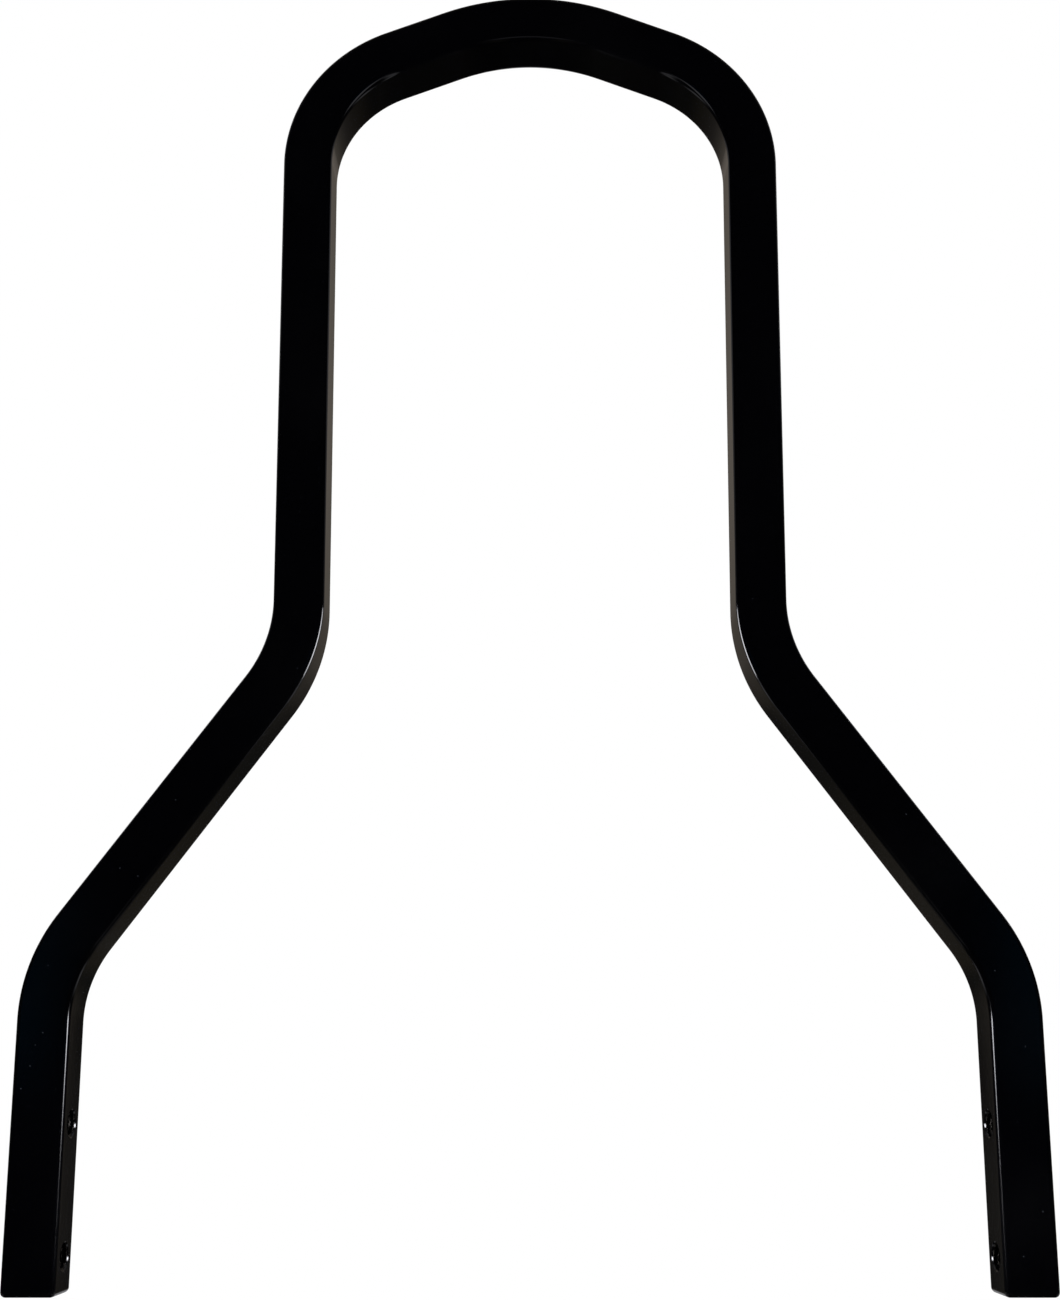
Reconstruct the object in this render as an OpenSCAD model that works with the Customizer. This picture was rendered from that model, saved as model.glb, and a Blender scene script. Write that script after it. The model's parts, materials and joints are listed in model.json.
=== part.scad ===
// Sissy bar: one length of square steel bar, bent into a tall hoop that flares out into two straight feet.
// The inner face of each foot has two tapped holes, for the screws that hold it to its side plate.
// X runs across the bar, Y from its front to its back and Z up. The feet end at Z = 0.

/* [Bar] */
// Side of the square steel bar
bar = 15.875; // [12:0.125:22]
// Radius of the bar's long edges, and of the edges at the ends of the feet
edge_r = 1.6; // [0.8:0.1:2.4]

/* [Overall size] */
// Height from the ends of the feet to the top of the crown
height = 422; // [360:1:520]
// Clear width between the two feet
foot_gap = 272; // [230:1:330]
// Clear width between the upper legs, where they leave the shoulders
leg_gap = 131; // [110:1:160]
// Straight length of each foot, from its end up to the knee bend
foot_len = 79; // [60:1:110]

/* [Bends] */
// Radius of the bend in the middle of the crown, on the bar's centre line
crown_r = 72; // [50:1:100]
// Slope of the crown on each side of its middle bend, in degrees
crown_slope = 21.5; // [14:0.5:28]
// Radius of the shoulder bends, on the centre line
shoulder_r = 44; // [30:1:56]
// Lean of the upper legs, which stand closer together at the waist, in degrees
leg_lean = 0.5; // [0:0.1:2]
// Radius of the waist bends, where the upper legs turn outwards, on the centre line
waist_r = 50; // [30:1:80]
// Angle between the flared stretch and the vertical, in degrees
flare = 36; // [25:0.5:50]
// Radius of the knee bends, where the flare turns down into the feet, on the centre line
knee_r = 46; // [30:1:80]

/* [Tapped holes] */
// Outside diameter of the thread
thread_d = 7.94; // [5:0.01:10]
// Width of the small countersink at the mouth of each hole
mouth_edge = 0.3; // [0.1:0.05:0.5]
// Height of the lower hole above the end of the foot
hole_low = 10.8; // [8:0.1:18]
// Distance between the two holes of a foot
hole_pitch = 38.1; // [15:0.1:40]
// Thickness of steel left behind the tip of each hole
hole_floor = 2.5; // [1:0.1:5]

/* [Hidden] */
$fn = 96;

// Angle of a twist drill's tip, in degrees
drill_angle = 118;
// How far each cut runs past the face that it starts from
overrun = 1;
// The bar draws in by this much where it is bent, so that a bend ends inside the straights beside it
bend_draw = 0.01;
// How far each end of a bend runs on into the straight beside it
bend_lap = 0.05;

// Width of the flat between two rounded edges of the bar
flat = bar - 2 * edge_r;

// Places of the centre line on the right-hand side
foot_x = (foot_gap + bar) / 2;
leg_x = (leg_gap + bar) / 2;
crown_z = height - bar / 2;

// Directions of the centre line on its way down, in degrees below the horizontal
leg_dir = 90 + leg_lean;
flare_dir = 90 - flare;
foot_dir = 90;

// How far a bend of radius r goes across and down while it turns from direction a to direction b
function across(r, a, b) = r * sign(b - a) * (sin(b) - sin(a));
function down(r, a, b) = r * sign(b - a) * (cos(a) - cos(b));

// The straight of the crown takes up the width that its two bends leave
crown_straight = (leg_x - across(crown_r, 0, crown_slope) - across(shoulder_r, crown_slope, leg_dir))
    / cos(crown_slope);

// The upper leg and the flare share the width and the height that everything else leaves
rest_x = foot_x - leg_x - across(waist_r, leg_dir, flare_dir) - across(knee_r, flare_dir, foot_dir);
rest_z = crown_z - down(crown_r, 0, crown_slope) - crown_straight * sin(crown_slope)
    - down(shoulder_r, crown_slope, leg_dir) - down(waist_r, leg_dir, flare_dir)
    - down(knee_r, flare_dir, foot_dir) - foot_len;
leg_straight = (rest_x * sin(flare_dir) - rest_z * cos(flare_dir)) / sin(flare_dir - leg_dir);
flare_straight = (rest_z * cos(leg_dir) - rest_x * sin(leg_dir)) / sin(flare_dir - leg_dir);

// The holes are drilled with a pointed tip, which ends short of the outer face
thread_r = thread_d / 2;
tip_h = thread_r / tan(drill_angle / 2);
drill_depth = bar - hole_floor - tip_h;

// Cross-section of the bar, drawn in by less: a square with rounded corners
module section(less = 0) {
    core = flat - less;
    square([core + 2 * edge_r, core], center = true);
    square([core, core + 2 * edge_r], center = true);
    for (x = [-core / 2, core / 2], y = [-core / 2, core / 2])
        translate([x, y])
            circle(edge_r);
}

// Straight stretch along Z, with its children set on its far end
module straight(run) {
    linear_extrude(run)
        section();
    translate([0, 0, run])
        children();
}

// Bend that starts along Z and turns towards +X, or towards -X if turn is negative, with its
// children set on its far end
module bend(r, turn) {
    side = turn < 0 ? 180 : 0;
    lap_turn = bend_lap / r * 180 / PI;
    rotate([0, 0, side]) {
        translate([r, 0, 0])
            rotate([90, 0, 180])
                rotate([0, 0, -lap_turn])
                    rotate_extrude(angle = abs(turn) + 2 * lap_turn)
                        translate([r, 0])
                            section(bend_draw);
        translate([r - r * cos(turn), 0, r * sin(abs(turn))])
            rotate([0, abs(turn), 0])
                rotate([0, 0, side])
                    children();
    }
}

// Rounded end of the bar, which closes a straight stretch that comes from -Z
module rounded_end() {
    linear_extrude(edge_r)
        square(flat, center = true);
    for (side = [0, 90, 180, 270])
        rotate([0, 0, side])
            translate([flat / 2, flat / 2, 0]) {
                // The edge along one side
                rotate([90, 0, 0])
                    linear_extrude(flat)
                        intersection() {
                            circle(edge_r);
                            square(edge_r);
                        }
                // The corner beside it
                rotate_extrude(angle = 90)
                    intersection() {
                        circle(edge_r);
                        square(edge_r);
                    }
            }
}

// Cut for one tapped hole, drilled from the face at X = 0 towards -X: its countersink, its
// wall and its pointed tip
module tapped_hole() {
    mouth_r = thread_r + mouth_edge;
    rotate([0, -90, 0])
        rotate_extrude()
            polygon([
                [0, -overrun],
                [mouth_r + overrun, -overrun],
                [thread_r, mouth_edge],
                [thread_r, drill_depth],
                [0, drill_depth + tip_h]
            ]);
}

// Foot that hangs from the knee bend, with its inner face towards +X
module foot() {
    difference() {
        straight(foot_len - edge_r)
            rounded_end();
        for (up = [hole_low, hole_low + hole_pitch])
            translate([bar / 2, 0, foot_len - up])
                tapped_hole();
    }
}

// One side of the bar, from the middle of the crown down to the end of its foot
module side_of_bar() {
    translate([0, 0, crown_z])
        rotate([0, 90, 0])
            bend(crown_r, crown_slope)
                straight(crown_straight)
                    bend(shoulder_r, leg_dir - crown_slope)
                        straight(leg_straight)
                            bend(waist_r, flare_dir - leg_dir)
                                straight(flare_straight)
                                    bend(knee_r, foot_dir - flare_dir)
                                        foot();
}

module sissy_bar() {
    color("#0c0c0e") {
        side_of_bar();
        mirror([1, 0, 0])
            side_of_bar();
    }
}

sissy_bar();
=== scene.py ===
import json
import math

import bpy
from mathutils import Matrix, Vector
from mathutils.geometry import intersect_line_line


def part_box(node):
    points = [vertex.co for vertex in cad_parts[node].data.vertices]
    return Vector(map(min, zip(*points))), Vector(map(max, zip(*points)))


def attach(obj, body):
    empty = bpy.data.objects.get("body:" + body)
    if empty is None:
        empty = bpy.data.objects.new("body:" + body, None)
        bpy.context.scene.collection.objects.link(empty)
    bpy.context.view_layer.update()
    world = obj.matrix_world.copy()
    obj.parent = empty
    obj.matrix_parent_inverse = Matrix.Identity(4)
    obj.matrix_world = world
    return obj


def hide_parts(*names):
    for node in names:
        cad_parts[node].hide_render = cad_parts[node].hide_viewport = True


MM = 0.001

# Bends of the bar, on its centre line
CROWN_R = 72 * MM
CROWN_SLOPE = math.radians(21.5)
SHOULDER_R = 44 * MM
LEG_GAP = 131 * MM
LEG_LEAN = math.radians(0.5)
WAIST_R = 50 * MM
FLARE = math.radians(36)
KNEE_R = 46 * MM
FOOT_LEN = 79 * MM

# Section and ends of the bar
EDGE_R = 1.6 * MM
BEND_STEPS = 48
EDGE_STEPS = 8

# Points closer together than this are joined, and an edge that turns by more than this stays sharp
WELD = 0.001 * MM
SHARP_ANGLE = math.radians(30)

# Tapped holes, with an 18 to the inch thread
HOLE_SIDES = 64
MOUTH_EDGE = 0.3 * MM
HOLE_FLOOR = 2.5 * MM
DRILL_ANGLE = math.radians(118)
OVERRUN = 1 * MM
THREAD_PITCH = 25.4 / 18 * MM
THREAD_DEPTH = 0.61 * MM
THREAD_CREST = THREAD_PITCH / 4
THREAD_ROOT = THREAD_PITCH / 8
THREAD_SEAT = 0.02 * MM
THREAD_RUN = 9 * MM
THREAD_FADE = 0.5
TURN_STEPS = 48

# Powder coat: its orange peel, wiped patches and dust
COAT_IOR = 1.5
PEEL_WAVE = 2 * MM
PEEL_HEIGHT = 0.006 * MM
WIPE_SIZE = 45 * MM
WIPED_SHARES = (0.35, 0.65)
HAZY_SHARES = (0.5, 0.75)
CLEAN_ROUGHNESS = 0.08
WIPED_ROUGHNESS = 0.13
DUST_GAP = 5 * MM
DUST_SIZE = 0.3 * MM
DUST_CORE = 0.3 * DUST_SIZE
DUST_LOW = 100 * MM
DUST_TOP = 250 * MM
DUST_TOP_SHARE = 0.25
DUST_ROUGHNESS = 0.3

# Cut steel: its patches of oil and the tears of the tap
OIL_SIZE = 1.5 * MM
OILY_SHARES = (0.35, 0.55)
SMOOTHED_SHARES = (0.3, 0.7)
DRY_ROUGHNESS = 0.32
OILY_ROUGHNESS = 0.2
TEAR_SIZE = 0.2 * MM
TEAR_DEPTH = 0.01 * MM

# Camera
CAMERA_PLACE = Vector((0, -462.95, 52.77)) * MM
CAMERA_TILT = math.radians(10.883)
LENS = 42.375
SHIFT_UP = 0.1277

# Studio
FLOOR_Z = -250 * MM
FLOOR_HALF = 1500 * MM
FLOOR_FADE_SHARES = (0.2, 0.95)
FLOOR_WHITE_SHARE = 0.6
GLOW_POWER = 4
WIDE_BEAM = 180
FRONT_BOX = {"place": (620, -620, 320), "aim": (0, 0, 210), "size": (600, 600), "glow": 4}
REAR_BOX = {"place": (620, 620, 620), "aim": (0, 0, 210), "size": (600, 600), "glow": 4}
TOP_BOX = {"place": (0, 0, 1400), "aim": (0, 0, 210), "size": (1000, 1000), "glow": 1}

# Small lamps between the two sides, which the inner edges mirror
FOOT_STRIP = {"place": (0, -57, 59), "aim": (144, 0, 25), "size": (80, 86), "glow": 1, "beam": 29}
WAIST_STRIP = {"place": (0, 16, 196), "aim": (70, 0, 196), "size": (40, 58), "glow": 0.85, "beam": 50}
SHOULDER_STRIP = {"place": (0, -48, 371), "aim": (56, 0, 380), "size": (50, 16), "glow": 0.08, "beam": 60}

# Tones of the room that the coat mirrors
NIGHT = "#101010"
SHADOW = "#242422"
UMBER = "#3c3830"
DIM = "#484440"
TAUPE = "#645e56"
SAND = "#847c74"
MIST = "#707074"
PALE = "#8c8c90"
BRIGHT = "#c0c0c4"
DEEP_BLUE = "#0c3648"

# Each tone at its elevation in degrees. Behind the bar, from the middle of the wall outwards
MIDDLE_TONES = [(-34, NIGHT), (-26, BRIGHT), (4, BRIGHT), (12, TAUPE)]
WALL_TONES = [(-35, NIGHT), (-10, UMBER), (-6, SHADOW), (3, NIGHT), (8, TAUPE), (16, TAUPE), (24, SAND)]
HEM_TONES = [(-35, NIGHT), (-10, UMBER), (8, TAUPE)]
SHADE_TONES = [(-24, SHADOW), (0, UMBER), (15, DIM), (30, TAUPE), (50, PALE)]
SIDE_TONES = [(-38, BRIGHT), (-32, PALE), (-28, SHADOW), (-12, SHADOW), (0, UMBER), (18, DIM), (26, PALE)]
OUTER_TONES = [
    (-60, BRIGHT), (-48, PALE), (-41, SHADOW), (-28, SHADOW), (-22, BRIGHT), (-16, BRIGHT), (-8, SHADOW),
    (18, SHADOW), (27, PALE),
]

# In front of the bar, outwards again, and then straight out to the sides
SCREEN_TONES = [(-42, NIGHT), (-34, MIST), (-18, MIST), (-11, NIGHT), (40, NIGHT), (60, DIM)]
FRONT_TONES = [(-60, UMBER), (-12, NIGHT), (40, NIGHT), (60, DIM)]
BLUE_TONES = [(0, NIGHT), (2, DEEP_BLUE), (7, DEEP_BLUE), (12, NIGHT), (40, NIGHT), (60, DIM)]
ASIDE_TONES = [(-38, BRIGHT), (-32, PALE), (-27, SHADOW), (-9, NIGHT), (40, NIGHT), (60, DIM)]
FAR_TONES = [(-60, BRIGHT), (-48, PALE), (-41, SHADOW), (-9, NIGHT), (40, NIGHT), (60, DIM)]
FLANK_TONES = [(-60, BRIGHT), (-14, PALE), (-8, SHADOW), (36, SHADOW), (60, TAUPE)]

# Where each stretch of tones begins and is full, as the sideways share of a direction, and where the
# front of the room turns into its back, as the share of a direction that points behind the bar
BACK_ZONES = [
    (MIDDLE_TONES, 0.14, 0.1), (HEM_TONES, 0.286, 0.298), (SHADE_TONES, 0.33, 0.43),
    (SIDE_TONES, 0.53, 0.57), (OUTER_TONES, 0.64, 0.7),
]
FRONT_ZONES = [
    (SCREEN_TONES, 0.2, 0.16), (BLUE_TONES, 0.286, 0.31), (ASIDE_TONES, 0.53, 0.57),
    (FAR_TONES, 0.63, 0.68),
]
FLANK_ZONES = [(FLANK_TONES, 0.95, 0.97)]
BEHIND_SHARES = (-0.1, 0.25)


def linear(code):
    """An sRGB hex colour as the linear colour that shaders take."""
    shares = [int(code[i:i + 2], 16) / 255 for i in (1, 3, 5)]
    return [s / 12.92 if s <= 0.04045 else ((s + 0.055) / 1.055) ** 2.4 for s in shares] + [1]


def add(tree, kind, inputs=None, **settings):
    """One more node in a tree. An input takes a value, a socket, or a node whose first output feeds it."""
    node = tree.nodes.new(kind)
    for name, value in settings.items():
        setattr(node, name, value)
    for key, value in (inputs or {}).items():
        if isinstance(value, bpy.types.Node):
            value = value.outputs[0]
        if isinstance(value, bpy.types.NodeSocket):
            tree.links.new(value, node.inputs[key])
        else:
            node.inputs[key].default_value = value
    return node


def new_tree(name, sizes):
    """A geometry tree with a mesh input, named sizes and a mesh output, and its Group Input node."""
    tree = bpy.data.node_groups.new(name, "GeometryNodeTree")
    tree.interface.new_socket("Mesh", in_out="INPUT", socket_type="NodeSocketGeometry")
    for size, kind in sizes.items():
        tree.interface.new_socket(size, in_out="INPUT", socket_type=kind)
    tree.interface.new_socket("Mesh", in_out="OUTPUT", socket_type="NodeSocketGeometry")
    return tree, add(tree, "NodeGroupInput").outputs


def link_object(name, data):
    """A new object at the origin, in the scene."""
    piece = bpy.data.objects.new(name, data)
    bpy.context.scene.collection.objects.link(piece)
    return piece


def line_mesh(name, points, attribute, values, kind="FLOAT"):
    """A chain of edges through points, with a value on each point."""
    mesh = bpy.data.meshes.new(name)
    mesh.from_pydata(points, [(i, i + 1) for i in range(len(points) - 1)], [])
    field = "value" if kind == "FLOAT" else "vector"
    layer = mesh.attributes.new(attribute, kind, "POINT")
    for item, value in zip(layer.data, values):
        setattr(item, field, value)
    return mesh


def build(name, mesh, tree, sizes):
    """The plain mesh object that a tree makes from a mesh at these sizes, with even shading on its flats."""
    piece = link_object(name, mesh)
    modifier = piece.modifiers.new("build", "NODES")
    modifier.node_group = tree
    for item in tree.interface.items_tree:
        if item.name in sizes:
            modifier[item.identifier] = sizes[item.name]
    normals = piece.modifiers.new("normals", "WEIGHTED_NORMAL")
    normals.keep_sharp = True
    seen = piece.evaluated_get(bpy.context.evaluated_depsgraph_get())
    piece.data = bpy.data.meshes.new_from_object(seen)
    piece.modifiers.clear()
    return piece


def up(lean):
    """Direction that leans from the vertical towards +X."""
    return Vector((math.sin(lean), 0, math.cos(lean)))


def bar_corners(side, foot_x, crown_z):
    """Where the straights of the side at +X would cross, with the radius that each corner is bent to."""
    knee = Vector((foot_x, 0, FOOT_LEN + KNEE_R * math.tan(FLARE / 2)))
    crown = Vector((0, 0, crown_z + CROWN_R / math.cos(CROWN_SLOPE) - CROWN_R))
    shoulder_turn = math.pi / 2 + LEG_LEAN - CROWN_SLOPE
    shoulder_x = LEG_GAP / 2 + side / 2 + SHOULDER_R * math.tan(shoulder_turn / 2) * math.sin(LEG_LEAN)
    shoulder = Vector((shoulder_x, 0, crown.z - shoulder_x * math.tan(CROWN_SLOPE)))
    waist = intersect_line_line(knee, knee + up(-FLARE), shoulder, shoulder + up(LEG_LEAN))[0]
    return [(knee, KNEE_R), (waist, WAIST_R), (shoulder, SHOULDER_R), (crown, CROWN_R)]


def centre_line(side, foot_x, crown_z):
    """The bar's centre line with sharp corners, from the end of one foot to the end of the other."""
    turns = [math.pi / 2 * i / EDGE_STEPS for i in range(EDGE_STEPS + 1)]
    half = [(Vector((foot_x, 0, EDGE_R - EDGE_R * math.cos(turn))), 0) for turn in turns]
    half += bar_corners(side, foot_x, crown_z)
    other = [(Vector((-point.x, 0, point.z)), radius) for point, radius in half[-2::-1]]
    points, radii = zip(*half, *other)
    return line_mesh("centre_line", points, "bend_radius", radii)


def rounded_ends(tree, sizes, mesh):
    """Draws the last rings of each foot in towards its core, so that the edges of its end are round."""
    halves = add(tree, "ShaderNodeMath", {0: sizes["Side"], 1: 2.0}, operation="DIVIDE")
    core = add(tree, "ShaderNodeMath", {0: halves, 1: sizes["Edge radius"]}, operation="SUBTRACT")
    foot = add(tree, "ShaderNodeCombineXYZ", {"X": sizes["Foot place"]})
    place = add(tree, "GeometryNodeInputPosition")
    height = add(tree, "ShaderNodeSeparateXYZ", {0: place}).outputs["Z"]
    one_side = add(tree, "ShaderNodeVectorMath", {0: place}, operation="ABSOLUTE")
    local = add(tree, "ShaderNodeVectorMath", {0: one_side, 1: foot}, operation="SUBTRACT")
    most = add(tree, "ShaderNodeCombineXYZ", {"X": core, "Y": core, "Z": sizes["Side"]})
    least = add(tree, "ShaderNodeVectorMath", {0: most, "Scale": -1.0}, operation="SCALE")
    low = add(tree, "ShaderNodeVectorMath", {0: local, 1: most}, operation="MINIMUM")
    inside = add(tree, "ShaderNodeVectorMath", {0: low, 1: least}, operation="MAXIMUM")
    outwards = add(tree, "ShaderNodeVectorMath", {0: local, 1: inside}, operation="SUBTRACT")
    share = add(tree, "ShaderNodeMath", {0: height, 1: sizes["Edge radius"]}, operation="DIVIDE")
    drop = add(tree, "ShaderNodeMath", {0: 1.0, 1: share}, operation="SUBTRACT", use_clamp=True)
    square = add(tree, "ShaderNodeMath", {0: drop, 1: drop}, operation="MULTIPLY")
    rest = add(tree, "ShaderNodeMath", {0: 1.0, 1: square}, operation="SUBTRACT")
    reach = add(tree, "ShaderNodeMath", {0: rest}, operation="SQRT")
    edge = add(tree, "ShaderNodeVectorMath", {0: outwards, "Scale": reach}, operation="SCALE")
    drawn = add(tree, "ShaderNodeVectorMath", {0: inside, 1: edge}, operation="ADD")
    moved = add(tree, "ShaderNodeVectorMath", {0: drawn, 1: foot}, operation="ADD")
    signs = add(tree, "ShaderNodeVectorMath", {0: place}, operation="SIGN")
    final = add(tree, "ShaderNodeVectorMath", {0: moved, 1: signs}, operation="MULTIPLY")
    at_end = add(tree, "FunctionNodeCompare", {0: height, 1: sizes["Edge radius"]}, operation="LESS_THAN")
    return add(tree, "GeometryNodeSetPosition", {"Geometry": mesh, "Selection": at_end, "Position": final})


def finished(tree, sizes, mesh):
    """Smooth shading that keeps the true edges sharp, then the material and the tree's output."""
    smooth = add(tree, "GeometryNodeSetShadeSmooth", {0: mesh, "Shade Smooth": True})
    angle = add(tree, "GeometryNodeInputMeshEdgeAngle")
    sharp = add(tree, "FunctionNodeCompare", {0: angle, 1: SHARP_ANGLE}, operation="GREATER_THAN")
    edges = add(tree, "GeometryNodeSetShadeSmooth",
                {0: smooth, "Selection": sharp, "Shade Smooth": False}, domain="EDGE")
    real = add(tree, "GeometryNodeRealizeInstances", {0: edges})
    coated = add(tree, "GeometryNodeSetMaterial", {"Geometry": real, "Material": sizes["Finish"]})
    add(tree, "NodeGroupOutput", {0: coated})


def drill_tree():
    """Turned tool shapes at the mouths of the holes, from the radius at each point of the tool's axis."""
    tree, sizes = new_tree("drills", {
        "Mouths": "NodeSocketObject",
        "Finish": "NodeSocketMaterial",
    })
    axis = add(tree, "GeometryNodeMeshToCurve", {0: sizes["Mesh"]})
    radius = add(tree, "GeometryNodeInputNamedAttribute", {"Name": "tool_radius"}, data_type="FLOAT")
    circle = add(tree, "GeometryNodeCurvePrimitiveCircle", {"Resolution": HOLE_SIDES, "Radius": 1.0})
    tool = add(tree, "GeometryNodeCurveToMesh",
               {"Curve": axis, "Profile Curve": circle, "Scale": radius, "Fill Caps": True})
    tool = add(tree, "GeometryNodeMergeByDistance", {"Geometry": tool, "Distance": WELD})
    finished(tree, sizes, at_mouths(tree, sizes, tool))
    return tree


def at_mouths(tree, sizes, tool):
    """Copies of a tool at the mouths of the holes, each turned into the steel."""
    mouths = add(tree, "GeometryNodeObjectInfo", {"Object": sizes["Mouths"]}).outputs["Geometry"]
    into = add(tree, "GeometryNodeInputNamedAttribute", {"Name": "into"}, data_type="FLOAT_VECTOR")
    turn = add(tree, "FunctionNodeAlignRotationToVector", {"Vector": into}, axis="Z")
    return add(tree, "GeometryNodeInstanceOnPoints",
               {"Points": mouths, "Instance": tool, "Rotation": turn})


def bar_tree():
    """The bar: a rounded square swept along its bends, with round ends and its holes drilled."""
    tree, sizes = new_tree("bent_bar", {
        "Side": "NodeSocketFloat",
        "Edge radius": "NodeSocketFloat",
        "Foot place": "NodeSocketFloat",
        "Drills": "NodeSocketObject",
        "Finish": "NodeSocketMaterial",
    })
    line = add(tree, "GeometryNodeMeshToCurve", {0: sizes["Mesh"]})
    radius = add(tree, "GeometryNodeInputNamedAttribute", {"Name": "bend_radius"}, data_type="FLOAT")
    bent = add(tree, "GeometryNodeFilletCurve",
               {"Curve": line, "Count": BEND_STEPS, "Radius": radius}, mode="POLY")
    square = add(tree, "GeometryNodeCurvePrimitiveQuadrilateral",
                 {"Width": sizes["Side"], "Height": sizes["Side"]})
    section = add(tree, "GeometryNodeFilletCurve",
                  {"Curve": square, "Count": EDGE_STEPS, "Radius": sizes["Edge radius"]}, mode="POLY")
    swept = add(tree, "GeometryNodeCurveToMesh",
                {"Curve": bent, "Profile Curve": section, "Fill Caps": True})
    ended = rounded_ends(tree, sizes, swept)
    merged = add(tree, "GeometryNodeMergeByDistance", {"Geometry": ended, "Distance": WELD})
    drills = add(tree, "GeometryNodeObjectInfo", {"Object": sizes["Drills"]}).outputs["Geometry"]
    drilled = add(tree, "GeometryNodeMeshBoolean",
                  {"Mesh 1": merged, "Mesh 2": drills}, operation="DIFFERENCE", solver="EXACT")
    finished(tree, sizes, drilled)
    return tree


def thread_tree():
    """The cut thread: a ridge that winds into each hole and fades out at both of its ends."""
    tree, sizes = new_tree("cut_thread", {
        "Radius": "NodeSocketFloat",
        "Mouths": "NodeSocketObject",
        "Finish": "NodeSocketMaterial",
    })
    turns = THREAD_RUN / THREAD_PITCH
    coil = add(tree, "GeometryNodeCurveSpiral", {
        "Resolution": TURN_STEPS,
        "Rotations": turns,
        "Start Radius": sizes["Radius"],
        "End Radius": sizes["Radius"],
        "Height": THREAD_RUN,
        "Reverse": True,
    })
    upright = add(tree, "GeometryNodeSetCurveNormal", {"Curve": coil}, mode="Z_UP")
    along = add(tree, "GeometryNodeSplineParameter").outputs["Factor"]
    back = add(tree, "ShaderNodeMath", {0: 1.0, 1: along}, operation="SUBTRACT")
    nearest = add(tree, "ShaderNodeMath", {0: along, 1: back}, operation="MINIMUM")
    grown = add(tree, "ShaderNodeMath", {0: nearest, 1: turns / THREAD_FADE},
                operation="MULTIPLY", use_clamp=True)
    ridge = add(tree, "GeometryNodeCurvePrimitiveQuadrilateral", {
        "Height": THREAD_DEPTH + THREAD_SEAT,
        "Bottom Width": THREAD_PITCH - THREAD_ROOT,
        "Top Width": THREAD_CREST,
        "Offset": 0.0,
    }, mode="TRAPEZOID")
    inwards = add(tree, "GeometryNodeTransform", {
        "Geometry": ridge,
        "Translation": (THREAD_SEAT - THREAD_DEPTH / 2, 0, 0),
        "Rotation": (0, 0, math.pi / 2),
    })
    wound = add(tree, "GeometryNodeCurveToMesh",
                {"Curve": upright, "Profile Curve": inwards, "Scale": grown, "Fill Caps": True})
    merged = add(tree, "GeometryNodeMergeByDistance", {"Geometry": wound, "Distance": WELD})
    lifted = add(tree, "GeometryNodeTransform",
                 {"Geometry": merged, "Translation": (0, 0, MOUTH_EDGE)})
    finished(tree, sizes, at_mouths(tree, sizes, lifted))
    return tree


def hole_mouths(mounts):
    """Points at the mouths of the holes, each with the direction of its hole into the steel."""
    places = []
    turns = []
    for mount in mounts:
        for share in (-0.5, 0.5):
            rise = Vector((0, 0, share * mount["dims"]["spacing_y_mm"] * MM))
            places.append(Vector(mount["pos_m"]) + rise)
            turns.append(-Vector(mount["axis"]))
    return link_object("mouths", line_mesh("mouths", places, "into", turns, "FLOAT_VECTOR"))


def drill_axis(side, thread_r):
    """The axis of a hole's tool, from outside its mouth to its tip, with the tool's radius at each point."""
    tip = thread_r / math.tan(DRILL_ANGLE / 2)
    depth = side - HOLE_FLOOR - tip
    points = [(0, 0, -OVERRUN), (0, 0, MOUTH_EDGE), (0, 0, depth), (0, 0, depth + tip)]
    radii = [thread_r + MOUTH_EDGE + OVERRUN, thread_r, thread_r, 0]
    return line_mesh("drill_axis", points, "tool_radius", radii)


def bent_bar(box, thread_r, mouths, coat):
    """The coated bar in its box, bent from foot to foot, with its four holes drilled."""
    low, high = box
    side = high.y - low.y
    foot_x = high.x - side / 2
    drills = build("drills", drill_axis(side, thread_r), drill_tree(), {"Mouths": mouths, "Finish": coat})
    bar = build("bent_bar", centre_line(side, foot_x, high.z - side / 2), bar_tree(), {
        "Side": side,
        "Edge radius": EDGE_R,
        "Foot place": foot_x,
        "Drills": drills,
        "Finish": coat,
    })
    bpy.data.objects.remove(drills)
    return bar


def cut_thread(thread_r, mouths, steel):
    """The thread that the tap cut in each of the four holes."""
    return build("cut_thread", bpy.data.meshes.new("cut_thread"), thread_tree(), {
        "Radius": thread_r,
        "Mouths": mouths,
        "Finish": steel,
    })


def new_finish(name):
    """A new material with its tree, its shader and the place on the piece that its patterns read."""
    finish = bpy.data.materials.new(name)
    finish.use_nodes = True
    tree = finish.node_tree
    place = add(tree, "ShaderNodeTexCoord").outputs["Object"]
    return finish, tree, tree.nodes["Principled BSDF"], place


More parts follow.
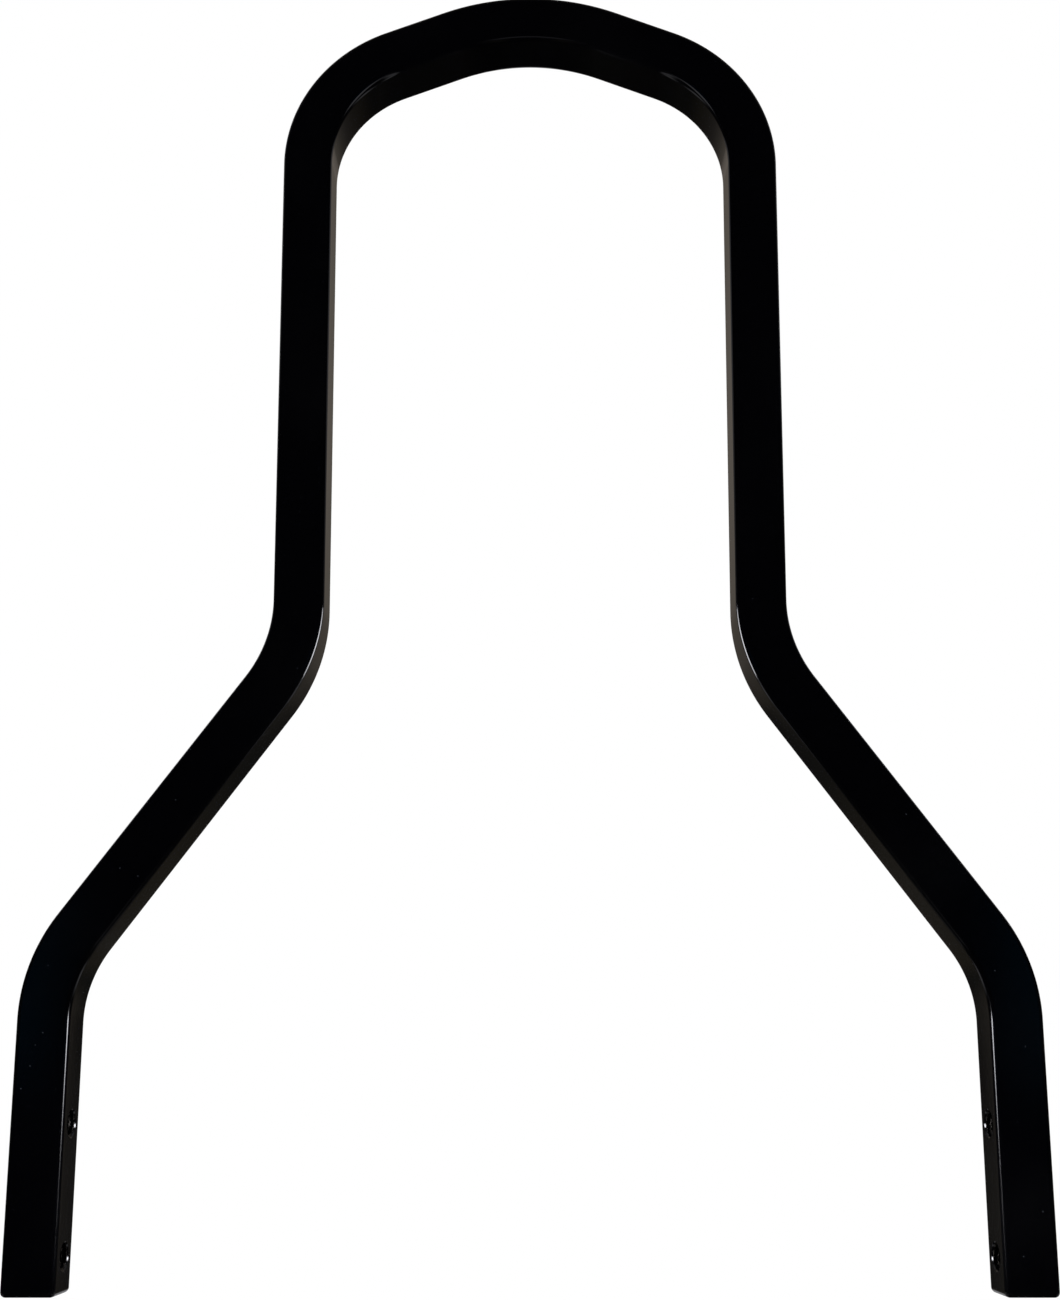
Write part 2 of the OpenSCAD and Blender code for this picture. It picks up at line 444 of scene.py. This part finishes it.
def gloss_black_coat():
    """Gloss black powder coat: near-black, so that nearly all that the eye gets is the room in its gloss."""
    coat, tree, shader, place = new_finish("gloss_black_coat")
    shader.inputs["IOR"].default_value = COAT_IOR

    # Orange peel, in waves of 2 mm, makes a mirrored lamp's edge faintly uneven
    peel = add(tree, "ShaderNodeTexNoise", {"Vector": place, "Scale": 1 / PEEL_WAVE, "Detail": 1.0})
    wavy = add(tree, "ShaderNodeBump", {"Height": peel, "Strength": 1.0, "Distance": PEEL_HEIGHT})
    tree.links.new(wavy.outputs["Normal"], shader.inputs["Normal"])

    # Where hands and rags have been, the gloss is a little softer
    wiped = add(tree, "ShaderNodeTexNoise", {"Vector": place, "Scale": 1 / WIPE_SIZE, "Detail": 3.0})
    begin, full = WIPED_SHARES
    gloss = add(tree, "ShaderNodeMapRange",
                {0: wiped, 1: begin, 2: full, 3: CLEAN_ROUGHNESS, 4: WIPED_ROUGHNESS})

    # Dust that settled in the coat shows as pale specks under a millimetre across, rarer higher up
    grains = add(tree, "ShaderNodeTexVoronoi", {"Vector": place, "Scale": 1 / DUST_GAP}, feature="F1")
    dust = add(tree, "ShaderNodeMapRange",
               {0: grains.outputs["Distance"], 1: DUST_SIZE / DUST_GAP, 2: DUST_CORE / DUST_GAP})
    level = add(tree, "ShaderNodeSeparateXYZ", {0: place}).outputs["Z"]
    low_down = add(tree, "ShaderNodeMapRange",
                   {0: level, 1: DUST_LOW, 2: DUST_TOP, 3: 1.0, 4: DUST_TOP_SHARE})
    dust = add(tree, "ShaderNodeMath", {0: dust, 1: low_down}, operation="MULTIPLY")
    begin, full = HAZY_SHARES
    haze = add(tree, "ShaderNodeMapRange", {0: wiped, 1: begin, 2: full})
    black = add(tree, "ShaderNodeMix",
                {0: haze, 6: linear("#010102"), 7: linear("#030304")}, data_type="RGBA").outputs[2]
    specked = add(tree, "ShaderNodeMix",
                  {0: dust, 6: black, 7: linear("#24272a")}, data_type="RGBA").outputs[2]
    tree.links.new(specked, shader.inputs["Base Color"])
    dull = add(tree, "ShaderNodeMath", {0: dust, 1: DUST_ROUGHNESS}, operation="MULTIPLY")
    rough = add(tree, "ShaderNodeMath", {0: gloss, 1: dull}, operation="ADD")
    tree.links.new(rough.outputs[0], shader.inputs["Roughness"])
    return coat


def bare_cut_steel():
    """Bare steel, cut by the tap after coating: a glint where it faces a lamp, dark oil in patches, and a
    clean tone painted far darker than bright steel, as painted shade inside the holes.
    """
    steel, tree, shader, place = new_finish("bare_cut_steel")
    shader.inputs["Metallic"].default_value = 1

    # Cutting oil stays in the grooves in patches, darker still than the clean flanks, whose dark tone is
    # painted shade of the holes' insides
    oil = add(tree, "ShaderNodeTexNoise", {"Vector": place, "Scale": 1 / OIL_SIZE, "Detail": 2.0})
    begin, full = OILY_SHARES
    oily = add(tree, "ShaderNodeMapRange", {0: oil, 1: begin, 2: full})
    # Painted shade: the clean steel's tone is far darker than bright cut steel, so that the thread stays
    # dark in its hole
    tone = add(tree, "ShaderNodeMix",
               {0: oily, 6: linear("#524f4b"), 7: linear("#141311")}, data_type="RGBA").outputs[2]
    tree.links.new(tone, shader.inputs["Base Color"])
    begin, full = SMOOTHED_SHARES
    rough = add(tree, "ShaderNodeMapRange",
                {0: oil, 1: begin, 2: full, 3: DRY_ROUGHNESS, 4: OILY_ROUGHNESS})
    tree.links.new(rough.outputs[0], shader.inputs["Roughness"])

    # Fine tears across the cut catch the light as grain
    tears = add(tree, "ShaderNodeTexNoise", {"Vector": place, "Scale": 1 / TEAR_SIZE, "Detail": 2.0})
    torn = add(tree, "ShaderNodeBump", {"Height": tears, "Strength": 1.0, "Distance": TEAR_DEPTH})
    tree.links.new(torn.outputs["Normal"], shader.inputs["Normal"])
    return steel


def softbox(name, box, tint, side=1, mirrored=True):
    """A soft lamp at a box's place, or at its mirrored place on the other side of the bar."""
    place, aim = (Vector((side * box[key][0], *box[key][1:])) * MM for key in ("place", "aim"))
    width, height = (length * MM for length in box["size"])
    lamp = bpy.data.lights.new(name, "AREA")
    lamp.shape = "RECTANGLE"
    lamp.size = width
    lamp.size_y = height
    lamp.spread = math.radians(box.get("beam", WIDE_BEAM))
    lamp.energy = box["glow"] * width * height * GLOW_POWER
    lamp.color = linear(tint)[:3]
    stand = link_object(name, lamp)
    stand.location = place
    stand.rotation_euler = (aim - place).to_track_quat("-Z", "Y").to_euler()
    stand.visible_camera = False
    stand.visible_glossy = mirrored


def studio_lamps():
    """Large soft lamps all round, and small ones between the sides, each with a partner back to back."""
    softbox("top_box", TOP_BOX, "#ffffff", mirrored=False)
    for side in (-1, 1):
        softbox("front_box", FRONT_BOX, "#f4f7ff", side, mirrored=False)
        softbox("rear_box", REAR_BOX, "#ffffff", side, mirrored=False)
        softbox("foot_strip", FOOT_STRIP, "#f8f8ff", side)
        softbox("waist_strip", WAIST_STRIP, "#f8f8ff", side)
        softbox("shoulder_strip", SHOULDER_STRIP, "#f8f8ff", side)


def tone_ramp(tree, height, tones):
    """The room's tone at the height of a direction, from tones at their elevations."""
    node = add(tree, "ShaderNodeValToRGB", {0: height})
    ramp = node.color_ramp
    while len(ramp.elements) < len(tones):
        ramp.elements.new(1)
    for element, (elevation, tone) in zip(ramp.elements, tones):
        element.position = 0.5 + 0.5 * math.sin(math.radians(elevation))
        element.color = linear(tone)
    return node


def zones(tree, height, sideways, room, others):
    """A room with other tones over it, each where the sideways part of the direction reaches its range."""
    for tones, begin, full in others:
        share = add(tree, "ShaderNodeMapRange", {0: sideways, 1: begin, 2: full})
        tone = tone_ramp(tree, height, tones)
        room = add(tree, "ShaderNodeMix", {0: share, 6: room, 7: tone}, data_type="RGBA").outputs[2]
    return room


def studio_world():
    """White for the camera alone: what the coat mirrors is a dim room, with a warm wall behind the bar."""
    world = bpy.data.worlds.new("studio")
    bpy.context.scene.world = world
    world.use_nodes = True
    tree = world.node_tree
    tree.nodes.clear()
    facing = add(tree, "ShaderNodeTexCoord").outputs["Generated"]
    parts = add(tree, "ShaderNodeSeparateXYZ", {0: facing})
    height = add(tree, "ShaderNodeMapRange", {0: parts.outputs["Z"], 1: -1.0, 2: 1.0})
    sideways = add(tree, "ShaderNodeMath", {0: parts.outputs["X"]}, operation="ABSOLUTE")
    back = zones(tree, height, sideways, tone_ramp(tree, height, WALL_TONES), BACK_ZONES)
    front = zones(tree, height, sideways, tone_ramp(tree, height, FRONT_TONES), FRONT_ZONES)
    begin, full = BEHIND_SHARES
    behind = add(tree, "ShaderNodeMapRange", {0: parts.outputs["Y"], 1: begin, 2: full})
    both = add(tree, "ShaderNodeMix", {0: behind, 6: front, 7: back}, data_type="RGBA").outputs[2]
    room = zones(tree, height, sideways, both, FLANK_ZONES)
    mirrored = add(tree, "ShaderNodeBackground", {"Color": room})
    white = add(tree, "ShaderNodeBackground", {"Color": linear("#ffffff")})
    camera_sees = add(tree, "ShaderNodeLightPath").outputs["Is Camera Ray"]
    shown = add(tree, "ShaderNodeMixShader", {0: camera_sees, 1: mirrored, 2: white})
    add(tree, "ShaderNodeOutputWorld", {0: shown})


def studio_floor():
    """A pale floor below the bar, which keeps its shadow and turns white towards the rim."""
    mesh = bpy.data.meshes.new("floor")
    half = FLOOR_HALF
    corners = [(x, y, FLOOR_Z) for x, y in ((-half, -half), (half, -half), (half, half), (-half, half))]
    mesh.from_pydata(corners, [], [range(4)])
    paint = bpy.data.materials.new("pale_floor")
    paint.use_nodes = True
    tree = paint.node_tree
    tree.nodes.clear()
    coords = add(tree, "ShaderNodeTexCoord").outputs["Object"]
    flat = add(tree, "ShaderNodeVectorMath", {0: coords, 1: (1, 1, 0)}, operation="MULTIPLY")
    distance = add(tree, "ShaderNodeVectorMath", {0: flat}, operation="LENGTH").outputs["Value"]
    begin, full = (share * FLOOR_HALF for share in FLOOR_FADE_SHARES)
    rim = add(tree, "ShaderNodeMapRange",
              {0: distance, 1: begin, 2: full, 3: FLOOR_WHITE_SHARE, 4: 1.0},
              interpolation_type="SMOOTHSTEP")
    camera_sees = add(tree, "ShaderNodeLightPath").outputs["Is Camera Ray"]
    share = add(tree, "ShaderNodeMath", {0: rim, 1: camera_sees}, operation="MULTIPLY")
    matt = add(tree, "ShaderNodeBsdfDiffuse", {"Color": linear("#e6e6e6")})
    white = add(tree, "ShaderNodeEmission", {"Color": linear("#ffffff")})
    shown = add(tree, "ShaderNodeMixShader", {0: share, 1: matt, 2: white})
    add(tree, "ShaderNodeOutputMaterial", {0: shown})
    mesh.materials.append(paint)
    floor = link_object("floor", mesh)
    floor.visible_glossy = False


def studio_camera():
    """The camera stands low in front of the bar, close to it, and looks up."""
    camera = link_object("camera", bpy.data.cameras.new("camera"))
    camera.location = CAMERA_PLACE
    camera.rotation_euler = (math.pi / 2 + CAMERA_TILT, 0, 0)
    camera.data.lens = LENS
    camera.data.shift_y = SHIFT_UP
    bpy.context.scene.camera = camera


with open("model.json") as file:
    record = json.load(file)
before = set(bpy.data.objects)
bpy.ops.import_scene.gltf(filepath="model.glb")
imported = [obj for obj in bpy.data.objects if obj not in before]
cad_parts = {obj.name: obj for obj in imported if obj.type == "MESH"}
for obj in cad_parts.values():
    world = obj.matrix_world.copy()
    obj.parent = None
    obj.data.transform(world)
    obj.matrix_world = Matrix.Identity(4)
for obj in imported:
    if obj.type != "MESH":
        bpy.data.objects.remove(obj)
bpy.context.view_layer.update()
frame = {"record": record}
mounts = [mount for mount in frame["record"]["mounts"] if mount["kind"] == "bolt_pattern"]
thread_r = mounts[0]["dims"]["hole_r_mm"] * MM
mouths = hole_mouths(mounts)
bar = bent_bar(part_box("sissy_bar"), thread_r, mouths, gloss_black_coat())
thread = cut_thread(thread_r, mouths, bare_cut_steel())
bpy.data.objects.remove(mouths)

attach(bar, "root")
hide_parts("sissy_bar")
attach(thread, "root")

studio_camera()
studio_lamps()
studio_world()
studio_floor()
bpy.context.scene.view_settings.view_transform = "Standard"
